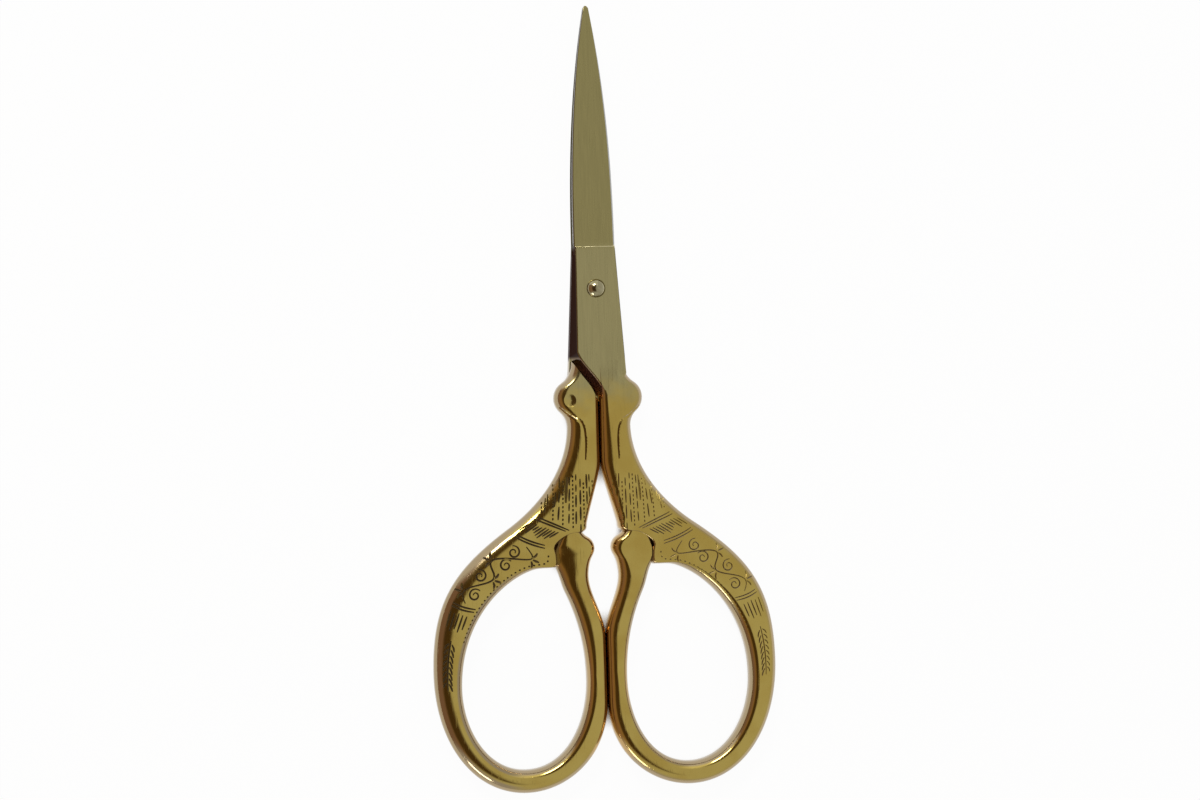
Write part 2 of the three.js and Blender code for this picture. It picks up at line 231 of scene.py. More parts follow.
def handleSides():
    h = handle
    gap = h["gap"]
    parting = math.degrees(math.atan2(h["crotch"] - h["waist"][1], h["waist"][0] - gap))
    outer = [placed(h["top"], -90)]
    outer += [rimKnot(h["beadPlace"], h["beadRadius"], degrees) for degrees in h["beadRim"]]
    outer += [
        placed(h["neck"], -88, 0.4, 0.4),
        placed(h["flare"], h["flareHeading"], 0.27, 0.42),
        placed(h["wide"], -90, 0.44, 0.46),
        placed(h["low"], 180, 0.35, 0.32),
        placed((gap, h["meet"] + h["meetLength"] / 2), 90, before=0.48),
        placed((gap, h["meet"] - h["meetLength"] / 2), 90),
        placed(h["limbNeck"], 94, 0.3, 0.3),
    ]
    outer += [rimKnot(h["innerBeadPlace"], h["innerBeadRadius"], degrees) for degrees in h["innerBeadRim"]]
    outer += [placed(h["curlOuter"], 55)]
    inner = [
        placed((gap, h["top"][1]), -90),
        placed((gap, h["crotch"]), -90, after=0.2),
        placed(h["waist"], parting, after=0.4),
        placed(h["notch"], -46),
        placed(h["valley"][0], -27),
        placed(h["valley"][1], -52),
        placed(h["valley"][2], -92),
        placed(h["openingCorner"], -6),
        placed(h["openingTop"], -17, after=0.22),
        placed(h["openingRight"], -90, 0.5, 0.38),
        placed(h["openingLow"], 180, 0.38, 0.38),
        placed(h["openingLeft"], 90, 0.4, 0.32),
        placed(h["limbInner"], 65),
        placed(h["curl"][0], 66),
        placed(h["curl"][1], 88),
        placed(h["curl"][2], 108),
        placed(h["curlInner"], 140),
    ]
    return pathThrough(outer, h["pathSteps"]), pathThrough(inner, h["pathSteps"])


# Places that face each other across the ribbon, counted in knots along each side, and the reach of
# the rounding on each side.
ribbonStations = (
    (0, 0, (1.2, 0.3)),
    (1, 0.22, (1.5, 0.4)),
    (2, 0.33, (1.55, 1.1)),
    (3, 0.52, (1.6, 1.2)),
    (4.25, 1, (2.1, 1.7)),
    (4.53, 2, (2.3, 1.1)),
    (4.68, 3, (2.4, 0.6)),
    (5, 5, (2.5, 0.4)),
    (5.11, 7, (2.5, 0.5)),
    (5.25, 8.12, (2.5, 1.2)),
    (6, 9, (2.25, 1.3)),
    (7, 10, (1.75, 1.15)),
    (8.5, 11, (1.35, 1.2)),
    (10, 12.37, (1.6, 2.0)),
)
# The curled end falls away beside the rear half's shoulder and stays level beside the front half's.
curlStations = {
    "front": (
        (11.68, 14, (1.2, 0.5)),
        (12.4, 14.5, (1.2, 0.5)),
        (13, 15, (1.2, 0.5)),
        (14, 16, (0.9, 0.5)),
    ),
    "rear": (
        (11.68, 14, (1.2, 4.2)),
        (12.4, 14.5, (1.2, 3.0)),
        (13, 15, (1.2, 1.9)),
        (14, 16, (0.9, 0.8)),
    ),
}
crotchStation = 4   # the station that lies at the crotch
sections = []       # of the half drawn last: station number, outer point and inner point


def ribbonHandle(side):
    h = handle
    sections.clear()
    outer, inner = handleSides()
    outerLengths = lengthsAlong(outer)
    innerLengths = lengthsAlong(inner)
    stations = []
    for onOuter, onInner, roundings in ribbonStations + curlStations[side]:
        atOuter = outerLengths[round(onOuter * h["pathSteps"])]
        atInner = innerLengths[round(onInner * h["pathSteps"])]
        stations.append((atOuter, atInner, Vector(roundings)))
    rings = []
    last = len(stations) - 2
    for i, (start, end) in enumerate(zip(stations, stations[1:])):
        steps = max(2, round(max(end[0] - start[0], end[1] - start[1]) / h["sectionSpacing"]))
        for k in range(steps + (1 if i == last else 0)):
            share = k / steps
            a = pointAt(outer, outerLengths, start[0] + (end[0] - start[0]) * share)
            b = pointAt(inner, innerLengths, start[1] + (end[1] - start[1]) * share)
            dip = h["curlDip"] * share * share if i == last else 0
            sections.append((i + share, a, b))
            rings.append(ribbonSection(a, b, h["halfThick"] - dip, start[2].lerp(end[2], share)))
    return loftRings(side + "_forging", rings)


# Blade and ricasso, the thick flat where the halves cross.
blade = {
    "innerFace": 0.05,
    "ricassoThick": 1.5,
    "ricassoTop": 5.5,
    "backTop": 2.56,
    "backHeel": 2.74,
    "frontTop": 2.65,
    "frontFoot": 3.66,
    "foot": 11.1,
    "heel": 8.2,
    "toe": (0.6, 13.4),
    "slantHeadings": (-68, -72),    # degrees, at the heel and at the toe
    "slantSteps": 13,
    "soleInset": (1.2, 0.4),        # the foot's inner corner, from the collar bead's middle
    "edge": 0.18,
    "wallLean": 0.95,       # how far the slanting wall leans out at its foot
    "shoulderClearance": 1.2,
    "shoulderSlope": 2.4,
    "tip": 36.9,
    "rootThick": 1.15,
    "tipThick": 0.45,
    "backRoot": 2.72,
    "edgeRoot": 2.84,
    "tipHalf": 0.36,
    "nose": 0.3,
    "taper": 2.4,
    "cuttingEdge": 0.1,
    "edgeBevel": 0.3,
    "bevelHeight": 0.82,    # share of the thickness where the ground bevel starts
    "backRound": 0.22,
    "roundSteps": 4,
    "noseWidth": 0.4,       # the nose, as shares of the tip
    "noseThick": 0.6,
    "noseRound": 0.3,
    "stations": 48,
    "cutterReach": 60,      # the cutters run well past the half
    "cutterDepth": 20,
    "cutterRise": 4.0,
}


# A plate between two outlines with the same number of points, its upper rim eased by a bevel.
def prism(name, foot, top, low, high, edge=0.0):
    count = len(top)
    points = [(p[0], p[1], low) for p in foot] + [(p[0], p[1], high) for p in top]
    faces = [tuple(reversed(range(count))), tuple(range(count, 2 * count))]
    for i in range(count):
        j = (i + 1) % count
        faces.append((i, j, count + j, count + i))
    obj = meshObject(name, points, faces)
    if edge:
        bpy.ops.object.mode_set(mode="EDIT")
        bpy.ops.mesh.select_mode(type="EDGE")
        bpy.ops.mesh.select_all(action="DESELECT")
        bpy.ops.object.mode_set(mode="OBJECT")
        for e in obj.data.edges:
            e.select = all(abs(obj.data.vertices[v].co.z - high) < 1e-6 for v in e.vertices)
        bpy.ops.object.mode_set(mode="EDIT")
        bpy.ops.mesh.bevel(offset=edge, segments=3, profile=0.5)
        bpy.ops.object.mode_set(mode="OBJECT")
    return obj


# The back wall and the slant lean outwards to the other half's edge, so nothing shows past them.
def ricassoPlate():
    b = blade
    heel = knot(-b["backHeel"], -b["heel"], b["slantHeadings"][0])
    toe = knot(b["toe"][0], -b["toe"][1], b["slantHeadings"][1])
    slant = [(p.x, p.y) for p in pathThrough([heel, toe], b["slantSteps"])]
    away = Vector((toe["place"].y - heel["place"].y, heel["place"].x - toe["place"].x)).normalized()
    rise = [(p[0] + away.x * b["wallLean"], p[1] + away.y * b["wallLean"]) for p in slant]
    top = [(b["frontTop"], b["ricassoTop"]), (-b["backTop"], b["ricassoTop"])] + slant
    foot = [(b["frontTop"], b["ricassoTop"]), (-b["backRoot"], b["ricassoTop"])] + rise
    beadX, beadDrop = handle["beadPlace"]
    corner = (beadX - b["soleInset"][0], -beadDrop + b["soleInset"][1])
    sole = [corner, (b["frontFoot"], -b["foot"])]
    low = b["innerFace"]
    return prism("ricasso", foot + sole, top + sole, low, low + b["ricassoThick"], b["edge"])


def bladeRings():
    b = blade
    root = b["ricassoTop"] - b["rootThick"]
    length = b["tip"] - b["nose"] - root
    low = b["innerFace"]

    def section(y, back, edge, thick, bevel, rounding):
        ring = [(-back, y, low), (edge, y, low), (edge, y, low + min(b["cuttingEdge"], thick / 2))]
        ring.append((edge - bevel, y, low + thick * b["bevelHeight"]))
        for k in range(b["roundSteps"] + 1):
            angle = math.radians(90 * k / b["roundSteps"])
            x = -back + rounding * (1 - math.sin(angle))
            ring.append((x, y, low + thick - rounding * (1 - math.cos(angle))))
        return ring

    rings = []
    for i in range(b["stations"] + 1):
        along = i / b["stations"]
        fall = 1 - along ** b["taper"]
        back = b["tipHalf"] + (b["backRoot"] - b["tipHalf"]) * fall
        edge = b["tipHalf"] + (b["edgeRoot"] - b["tipHalf"]) * fall
        thick = b["rootThick"] + (b["tipThick"] - b["rootThick"]) * along
        share = edge / b["edgeRoot"]
        rounding = b["backRound"] * thick / b["rootThick"]
        rings.append(section(root + length * along, back, edge, thick, b["edgeBevel"] * share, rounding))
    nose = b["tipHalf"] * b["noseWidth"]
    rounding = nose * b["noseRound"]
    rings.append(section(b["tip"], nose, nose, b["tipThick"] * b["noseThick"], rounding, rounding))
    return rings


# A triangle beyond the line along the other half's slanting edge, at the clearance from it.
def lapLine(shift):
    b = blade
    otherHeel = Vector((b["backHeel"], -b["heel"], 0))
    otherToe = Vector((-b["toe"][0], -b["toe"][1], 0))
    along = (otherHeel - otherToe).normalized()
    away = Vector((along.y, -along.x, 0))
    start = otherToe - along * b["cutterReach"] + away * (b["shoulderClearance"] + shift)
    end = otherHeel + along * b["cutterReach"] + away * (b["shoulderClearance"] + shift)
    return [(start.x, start.y), (end.x, end.y), (start.x, end.y)]


def lapCutter():
    return prism("lapRoom", lapLine(0), lapLine(0), -blade["cutterDepth"], blade["innerFace"])


def stepCutter():
    flat = blade["innerFace"] + blade["ricassoThick"]
    slope = blade["shoulderSlope"] / (handle["halfThick"] - flat)
    rings = []
    for z in (flat, flat + blade["cutterRise"]):
        shift = (z - handle["halfThick"]) * slope
        rings.append([(x, y, z) for x, y in lapLine(shift)])
    return loftRings("stepRoom", rings)


def forgedHalf(side):
    half = ribbonHandle(side)
    combine(half, lapCutter(), "DIFFERENCE", selfCrossing=True)  # the curled end runs into the shoulder
    combine(half, stepCutter(), "DIFFERENCE")
    combine(half, ricassoPlate(), "UNION")
    combine(half, loftRings("blade", bladeRings()), "UNION")
    return half


def smoothSurface(obj, degrees):
    makeActive(obj)
    bpy.ops.object.shade_smooth_by_angle(angle=math.radians(degrees))
    weighted = obj.modifiers.new("weighted", "WEIGHTED_NORMAL")
    weighted.keep_sharp = True
    bpy.ops.object.modifier_apply(modifier=weighted.name)


def place(obj, matrix):
    obj.data.transform(Matrix.Scale(mm, 4) @ matrix)
    obj.data.update()


front = forgedHalf("front")
rear = forgedHalf("rear")
print("halves forged:", len(front.data.polygons), "and", len(rear.data.polygons), "faces")

# Engraving: V-shaped cuts that follow the face, the same on both faces of a half. Places along the limb
# are millimetres from the crotch, and places across it run from -1 at the outer edge to 1 at the inner.
engraving = {
    "depth": {"front": 0.09, "rear": 0.15},     # the front half is worn more
    "boldness": {"front": 0.9, "rear": 1.3},
    "tone": {"front": 0.4, "rear": 0.75},       # how dark the dirt in the cuts is
    "width": 0.2,
    "leafWidth": 0.26,
    "lift": 0.06,           # how far a cutter stands above the face
    "spacing": 0.2,         # between the points along a cut
    "steepest": 0.5,        # least upward part of the face's normal that a cut may lie on
    "castFrom": 6,          # height from which the face is sought
    "thinEnd": 0.3,         # a cut is shallower and narrower towards its ends
    "swellFrom": 0.08,
    "swellPower": 0.7,
    "overrun": 0.08,        # how far a cutter runs on past its cut
    "middle": -0.1,         # where the ornament's middle line lies across the ribbon
    "rainTop": 23.9,
    "rainStop": 0.35,       # above the first divider
    "rainFirst": 0.8,
    "rainGap": 0.43,
    "rainDrift": 0.3,
    "rainRagged": 1.3,
    "rainSplay": 0.03,
    "rainAxis": 2.5,
    "rainColumns": 17,
    "rainBold": 9,          # the column with long, wide strokes
    "rainStrokes": {        # the least, and how much chance may add
        "plain": {"length": (0.7, 1.1), "width": (0.75, 0.35), "gap": (0.34, 0.4)},
        "bold": {"length": (2.4, 1.1), "width": (1.5, 0.35), "gap": (0.34, 0.4)},
        "dotted": {"length": (0.24, 0), "width": (0.75, 0.35), "gap": (0.3, 0)},
    },
    "dividers": (9.3, 9.75),
    "dividerAcross": (-0.66, 1.3),  # start and width
    "bars": (12.85, 13.2, 25.3, 25.7),
    "barAcross": (-0.64, 1.16),
    "barBow": 0.16,
    "barSteps": 8,
    "strokes": 10,
    "strokeSpan": (10.4, 12.3),
    "strokeAcross": (-0.64, 1.18),
    "strokeRagged": (0.25, 0.9),
    "strokeLean": -0.04,
    "strokeSeed": 3,
    "scrollSpan": (13.9, 24.9),
    "scrollPeriod": 5.5,
    "scrollSwing": 0.36,
    "scrollSpacing": 0.12,
    "voluteRadius": (0.86, 0.2),
    "voluteTurns": 1.35,
    "voluteStart": -120,
    "voluteInset": 0.2,
    "voluteSteps": 40,
    "leafFan": (-54, 0, 54),  # degrees, the leaves on the outside of each bend
    "leafLength": 0.8,
    "leafGap": 0.32,
    "leafBend": 0.55,
    "leafCurl": 1.5,
    "dashes": (-0.58, -0.36, -0.14, 0.08, 0.3),
    "dashSpan": (26.35, 29.4),
    "dashRagged": (0.3, 1.3),
    "dashLean": 0.03,
    "dashSeed": 7,
    "earSpan": (30.1, 36.4),
    "earSteps": 30,
    "earEnds": (0.3, 0.8),  # bare stalk at each end
    "earGap": 0.72,
    "earLeaf": ((0.1, 0.1), (0.45, 0.24), (0.85, 0.3)),  # along and across, from the stalk
    "earLeafWidth": 0.8,    # as a share of a scroll leaf's
    "dotLine": 0.66,
    "dotLength": 0.15,
    "dotGap": 0.58,
}

centreLengths = lengthsAlong([(a + b) / 2 for _, a, b in sections])
crotchLength = next(d for (station, _, _), d in zip(sections, centreLengths) if station >= crotchStation)


def onRibbon(distance, across):
    target = crotchLength + distance
    for i in range(1, len(sections)):
        if centreLengths[i] >= target:
            share = (target - centreLengths[i - 1]) / (centreLengths[i] - centreLengths[i - 1])
            outer = sections[i - 1][1].lerp(sections[i][1], share)
            inner = sections[i - 1][2].lerp(sections[i][2], share)
            return outer.lerp(inner, 0.5 + 0.5 * across)
    return sections[-1][1].copy()


def evenly(points, spacing):
    lengths = lengthsAlong(points)
    count = max(3, round(lengths[-1] / spacing))
    return [pointAt(points, lengths, lengths[-1] * i / count) for i in range(count + 1)]


# A fixed, uneven value from 0 to 1 for each pair of counts.
def uneven(a, b):
    return math.modf(abs(math.sin(12.9898 * a + 78.233 * b)) * 437.5453)[0]


# Broken lines raining down the shoulder to the first divider, every third one dotted.
def shoulderRain():
    e = engraving
    start = onRibbon(e["dividers"][0] - e["rainStop"], -1)
    border = onRibbon(e["dividers"][0] - e["rainStop"], 1) - start
    cuts = []
    for column in range(e["rainColumns"]):
        kind = "bold" if column == e["rainBold"] else "dotted" if column % 3 == 1 else "plain"
        stroke = e["rainStrokes"][kind]
        x = e["rainFirst"] + (column + e["rainDrift"] * uneven(column, 1)) * e["rainGap"]
        y = -e["rainTop"] - e["rainRagged"] * uneven(column, 2)
        step = 0
        while True:
            chance = uneven(column, step + 3)
            length = stroke["length"][0] + stroke["length"][1] * chance
            tip = Vector((x + e["rainSplay"] * (x - e["rainAxis"]) * length, y - length, 0))
            if border.cross(tip - start).z >= 0:
                break
            width = e["width"] * (stroke["width"][0] + stroke["width"][1] * chance)
            cuts.append(([Vector((x, y, 0)), tip], width))
            x = tip.x
            y = tip.y - (stroke["gap"][0] + stroke["gap"][1] * uneven(step, column))
            step += 1
    return cuts


# Lines across the limb, bowed where they have a bow.
def crossBars(places, across, bow=0):
    steps = engraving["barSteps"]
    near, wide = across
    cuts = []
    for d in places:
        line = []
        for k in range(steps + 1):
            line.append(onRibbon(d + bow * math.sin(math.pi * k / steps), near + wide * k / steps))
        cuts.append((line, engraving["width"]))
    return cuts


# Strokes side by side along the limb, with ragged ends.
def raggedStrokes(span, places, ragged, lean, seed):
    cuts = []
    for i, across in enumerate(places):
        start = onRibbon(span[0] + ragged[0] * uneven(seed, i), across)
        tip = onRibbon(span[1] - ragged[1] * uneven(i, seed), across + lean)
        cuts.append(([start, tip], engraving["width"]))
    return cuts


def stackedStrokes():
    e = engraving
    near, wide = e["strokeAcross"]
    places = [near + wide * i / (e["strokes"] - 1) for i in range(e["strokes"])]
    return raggedStrokes(e["strokeSpan"], places, e["strokeRagged"], e["strokeLean"], e["strokeSeed"])


def longDashes():
    e = engraving
    return raggedStrokes(e["dashSpan"], e["dashes"], e["dashRagged"], e["dashLean"], e["dashSeed"])


# A leaf that leans out from its root and curls over.
def leaf(root, out, degrees):
    e = engraving
    lean = Matrix.Rotation(math.radians(degrees), 3, "Z") @ out
    curl = Matrix.Rotation(math.radians(degrees * e["leafCurl"]), 3, "Z") @ out
    first = root + lean * e["leafGap"]
    bend = first + lean * e["leafLength"] * e["leafBend"]
    return [first, bend, first + (lean + curl) * e["leafLength"] * 0.5], e["leafWidth"]


def volute(centre, out, side):
    e = engraving
    wide, narrow = e["voluteRadius"]
    steps = e["voluteSteps"]
    points = []
    for k in range(steps + 1):
        angle = side * math.radians(360 * e["voluteTurns"] * k / steps + e["voluteStart"])
        radius = wide + (narrow - wide) * k / steps
        points.append(centre + (Matrix.Rotation(angle, 3, "Z") @ out) * radius)
    return points, e["width"]


# A running scroll: a waving stem, a volute in each hollow and leaves outside each bend.
def runningScroll():
    e = engraving
    start, end = e["scrollSpan"]
    steps = round((end - start) / e["scrollSpacing"])
    stem = []
    for k in range(steps + 1):
        d = start + (end - start) * k / steps
        swing = e["scrollSwing"] * math.sin(2 * math.pi * (d - start) / e["scrollPeriod"])
        stem.append(onRibbon(d, e["middle"] + swing))
    cuts = [(stem, e["width"])]
    bend = start + e["scrollPeriod"] / 4
    side = 1
    while bend < end:
        crest = onRibbon(bend, e["middle"] + side * e["scrollSwing"])
        out = (onRibbon(bend, e["middle"] + side) - crest).normalized()
        cuts += [leaf(crest, out, degrees) for degrees in e["leafFan"]]
        cuts.append(volute(onRibbon(bend, e["middle"] - side * e["voluteInset"]), out, side))
        bend += e["scrollPeriod"] / 2
        side = -side
    return cuts


# An ear of wheat that runs out along the bow.
def earOfWheat():
    e = engraving
    start, end = e["earSpan"]
    steps = e["earSteps"]
    stalk = [onRibbon(start + (end - start) * k / steps, e["middle"]) for k in range(steps + 1)]
    cuts = [(stalk, e["width"])]
    d = start + e["earEnds"][0]
    while d < end - e["earEnds"][1]:
        for side in (-1, 1):
            grain = [onRibbon(d + along, e["middle"] + side * across) for along, across in e["earLeaf"]]
            cuts.append((grain, e["leafWidth"] * e["earLeafWidth"]))
        d += e["earGap"]
    return cuts


# A row of dots along the inner edge, beside the bars and the scroll.
def edgeDots():
    e = engraving
    cuts = []
    d = e["scrollSpan"][0]
    while d < e["earSpan"][0]:
        cuts.append(([onRibbon(d, e["dotLine"]), onRibbon(d + e["dotLength"], e["dotLine"])], e["width"]))
        d += e["dotGap"]
    return cuts


# The crease where the shank's edge rolls up into the collar bead, running out as a flute.
def beadCrease():
    crease = [Vector((x, -drop, 0)) for x, drop in handle["crease"]]
    knots = [knot(p.x, p.y, 0) for p in crease]
    for i, k in enumerate(knots):
        ahead = crease[min(i + 1, len(crease) - 1)] - crease[max(i - 1, 0)]
        k["heading"] = math.atan2(ahead.y, ahead.x)
    return [(pathThrough(knots, handle["creaseSteps"]), handle["creaseWidth"])]


# How deep and wide a cut is at one of its points, as a share of its middle.
def swellAt(i, count):
    e = engraving
    wave = math.sin(math.pi * (e["swellFrom"] + (1 - 2 * e["swellFrom"]) * i / (count - 1)))
    return e["thinEnd"] + (1 - e["thinEnd"]) * wave ** e["swellPower"]


# Wedges laid along the cuts on both faces of the surface.
def wedgeCutter(name, surface, cuts, deepest, boldness=1.0):
    e = engraving
    mesh = surface.data
    tree = BVHTree.FromPolygons([v.co for v in mesh.vertices], [p.vertices[:] for p in mesh.polygons])
    points = []
    faces = []
    made = 0
    for cut, width in cuts:
        path = evenly(cut, e["spacing"])
        count = len(path)
        for face in (1, -1):
            down = Vector((0, 0, -face))
            hits = [tree.ray_cast(Vector((p.x, p.y, e["castFrom"] * face)), down) for p in path]
            if any(h[0] is None or h[1].z * face < e["steepest"] for h in hits):
                continue
            base = len(points)
            for i, (hit, normal, _, _) in enumerate(hits):
                along = (hits[min(i + 1, count - 1)][0] - hits[max(i - 1, 0)][0]).normalized()
                side = along.cross(normal).normalized()
                swell = swellAt(i, count)
                depth = deepest * swell
                reach = boldness * width / 2 * swell * (depth + e["lift"]) / depth
                past = along * e["overrun"] * ((i == count - 1) - (i == 0))
                points += [
                    hit + normal * e["lift"] + side * reach + past,
                    hit + normal * e["lift"] - side * reach + past,
                    hit - normal * depth,
                ]
            for i in range(count - 1):
                a = base + 3 * i
                faces += [(a, a + 3, a + 4, a + 1), (a + 1, a + 4, a + 5, a + 2), (a + 2, a + 5, a + 3, a)]
            end = base + 3 * (count - 1)
            faces += [(base, base + 1, base + 2), (end, end + 2, end + 1)]
            made += 1
    print(name, made, "cuts")
    return meshObject(name, points, faces)


# A shallow round dimple in the middle of each collar bead.
def beadDimples(side):
    h = handle
    deselectAll()
    depth = h["dimpleDepth"][side]
    ball = (h["dimpleRadius"][side] ** 2 + depth ** 2) / (2 * depth)
    centre = h["halfThick"] + ball - depth
    made = []
    for face in (1, -1):
        bpy.ops.mesh.primitive_uv_sphere_add(
            segments=96, ring_count=64, radius=ball,
            location=(h["dimplePlace"][0], -h["dimplePlace"][1], face * centre))
        bpy.ops.object.transform_apply(location=True, rotation=True, scale=True)
        made.append(bpy.context.active_object)
    return made


# Cuts the tool from the half and marks the new faces, so that the finish can darken them.
def engrave(obj, tool, tone):
    for owner, index in ((obj, 0), (tool, 1)):
        for mark in ("uncut", "cut"):
            owner.data.materials.append(bpy.data.materials.new(mark))
        for polygon in owner.data.polygons:
            polygon.material_index = index
    combine(obj, tool, "DIFFERENCE", solver="MANIFOLD")
    mesh = obj.data
    marks = [tone * (polygon.material_index == 1) for polygon in mesh.polygons]
    mesh.materials.clear()
    mesh.attributes.new("engraving", "FLOAT", "FACE").data.foreach_set("value", marks)


pattern = shoulderRain()
pattern += crossBars(engraving["dividers"], engraving["dividerAcross"])
pattern += crossBars(engraving["bars"], engraving["barAcross"], engraving["barBow"])
pattern += stackedStrokes() + runningScroll() + longDashes() + earOfWheat() + edgeDots()
for side, half in (("front", front), ("rear", rear)):
    for dimple in beadDimples(side):
        combine(half, dimple, "DIFFERENCE")
    crease = wedgeCutter("crease", half, beadCrease(), handle["creaseDepth"])
    combine(half, crease, "DIFFERENCE", solver="MANIFOLD")
    cutter = wedgeCutter("engraving", half, pattern, engraving["depth"][side], engraving["boldness"][side])
    engrave(half, cutter, engraving["tone"][side])
    print("half engraved:", len(half.data.polygons), "faces")

# The pivot screw and its bores.
screw = {
    "shank": 1.7,
    "thread": 1.3,
    "head": 2.4,
    "rim": 0.1,
    "dome": 0.7,
    "domeSteps": 18,
    "turnSteps": 72,
    "mergeReach": 0.0005,
    "smoothAngle": 35,
    "clearance": 0.05,
    "seat": 0.04,
    "boreDepth": 18,
    "boreSides": 64,
}


def boreCutter(size):
    deselectAll()
    radius = (screw[size] + 2 * screw["clearance"]) / 2
    bpy.ops.mesh.primitive_cylinder_add(
        vertices=screw["boreSides"], radius=radius, depth=screw["boreDepth"])
    return bpy.context.active_object


combine(front, boreCutter("shank"), "DIFFERENCE")
combine(rear, boreCutter("thread"), "DIFFERENCE")
lift = Matrix.Translation((0, 0, handle["halfThick"]))
for obj, matrix in ((front, lift), (rear, lift @ Matrix.Rotation(math.pi, 4, "Y"))):
    smoothSurface(obj, handle["smoothAngle"])
    place(obj, matrix)
print("halves placed")


def pivotScrew():
    s = screw
    tail = -handle["halfThick"]
    seat = blade["innerFace"] + blade["ricassoThick"] + s["seat"]
    chamfer = (s["shank"] - s["thread"]) / 4
    profile = [
        (0, tail),
        (s["thread"] / 2 - chamfer, tail),
        (s["thread"] / 2, tail + chamfer),
        (s["thread"] / 2, 0),
        (s["shank"] / 2, 0),
        (s["shank"] / 2, seat),
        (s["head"] / 2, seat),
    ]
    ball = ((s["head"] / 2) ** 2 + s["dome"] ** 2) / (2 * s["dome"])
    reach = math.asin(s["head"] / 2 / ball)
    for k in range(s["domeSteps"]):
        angle = reach * (1 - k / s["domeSteps"])
        height = s["dome"] - ball * (1 - math.cos(angle))
        profile.append((ball * math.sin(angle), seat + s["rim"] + height))
    profile.append((0, seat + s["rim"] + s["dome"]))
    points = [(x, 0, z) for x, z in profile]
    mesh = bpy.data.meshes.new("pivot_rivet")
    mesh.from_pydata(points, [(i, i + 1) for i in range(len(points) - 1)], [])
    obj = bpy.data.objects.new("pivot_rivet", mesh)
    scene.collection.objects.link(obj)
    makeActive(obj)
    bpy.ops.object.mode_set(mode="EDIT")
    bpy.ops.mesh.select_all(action="SELECT")
    bpy.ops.mesh.spin(steps=s["turnSteps"], angle=2 * math.pi, center=(0, 0, 0), axis=(0, 0, 1))
    bpy.ops.mesh.select_all(action="SELECT")
    bpy.ops.mesh.remove_doubles(threshold=s["mergeReach"])
    bpy.ops.mesh.normals_make_consistent(inside=False)
    bpy.ops.object.mode_set(mode="OBJECT")
    return obj


rivet = pivotScrew()
smoothSurface(rivet, screw["smoothAngle"])
place(rivet, lift)
print("pivot screw turned")


# Finishes. Colours are the metal's own, except the side, seam and lap tones, which are painted reflection
# and shade, and the step's painted highlight. Lengths are in metres. A pair of lengths says where a tone
# begins and where it is full.
finish = {
    "gold": (0.565, 0.43, 0.115),
    "goldDeep": (0.51, 0.365, 0.085),
    "platingStart": (-0.0105, -0.0165),
    "raggedScale": 700,     # the plating's uneven edge
    "raggedReach": 0.004,
    "raggedDetail": 3,
    "ricassoSteel": (0.42, 0.372, 0.178),
    "bladeSteel": (0.36, 0.313, 0.133),
    "bladeStart": (0.0048, 0.0062),
    "grainScale": 9000,     # grinding lines along the blade
    "grainStretch": 0.02,
    "grainDetail": 3,
    "grainRange": (0.3, 0.7),
    "grainTone": (0.94, 1.04),
    # The side tones that follow are painted reflection and shade on the steep sides, not the metal's own
    # colour.
    "sideFacing": (0.9, 0.68),      # how flat a face is where the side's tone begins and is full
    "sidePlating": (-0.0087, -0.0095),
    "paintedGoldSide": (0.40, 0.31, 0.185),
    "paintedSeamSide": (0.52, 0.35, 0.15),   # painted warm reflection on the sides next to the seam
    "seamReach": (0.0034, 0.0018),
    "paintedLapSide": (0.42, 0.30, 0.25),   # painted reflection on the walls of the crossing, above the seam
    "lapFoot": (-0.0125, -0.0145),
    "paintedBladeSide": (0.20, 0.195, 0.18),
    "paintedRicassoSide": (0.04, 0.027, 0.024),
    "ricassoRimShade": (0.4, 0.36, 0.35),  # painted shade: dims the reflection of that side when seen almost edge on
    "plainRim": (1.0, 1.0, 1.0),
    "paintedFlankFrom": (-0.010, -0.014),    # the rear bow's outer limb, where more of the flank gets the painted side reflection
    "paintedFlankFacing": (0.97, 0.86),
    "stepHighlight": (0.72, 0.65, 0.40),   # painted highlight along the ricasso's upper edge
    "stepFrom": (0.00515, 0.0053),
    "stepTo": (0.0058, 0.0056),
    "stepFacing": (0.99, 0.94),
    "stepStart": (-0.0018, -0.0006),
    "cutBrown": (0.075, 0.045, 0.012),
    "cutRoughness": 0.7,
    "goldRoughness": 0.10,
    "steelRoughness": 0.20,
    "marks": (170, 5200),   # scale of the smudges and of the scratches
    "dulling": (0.07, 0.08),        # roughness that smudges and scratches add
    "relief": (0.2, 0.00012),       # strength and height
    "screwSteel": (0.46, 0.42, 0.27),
    "screwDull": (0.33, 0.29, 0.16),
    "screwRoughness": 0.10,
    "screwMarks": (900, 6500),
    "screwDulling": (0.08, 0.1),
    "screwRelief": (0.25, 0.00004),
}


def addNode(tree, kind, x, y):
    node = tree.nodes.new(kind)
    node.location = (x, y)
    return node


# Links a socket, or sets it to a plain value or colour.
def feed(tree, socket, value):
    if isinstance(value, bpy.types.NodeSocket):
        tree.links.new(value, socket)
    else:
        socket.default_value = (*value, 1) if isinstance(value, tuple) else value


def mathNode(tree, operation, x, y, *values):
    node = addNode(tree, "ShaderNodeMath", x, y)
    node.operation = operation
    for socket, value in zip(node.inputs, values):
        feed(tree, socket, value)
    return node.outputs[0]


# A value taken smoothly from one range to another.
def rangeNode(tree, x, y, value, low, high, toLow=0.0, toHigh=1.0):
    node = addNode(tree, "ShaderNodeMapRange", x, y)
    node.interpolation_type = "SMOOTHSTEP"
    for socket, amount in zip(node.inputs, (value, low, high, toLow, toHigh)):
        feed(tree, socket, amount)
    return node.outputs["Result"]


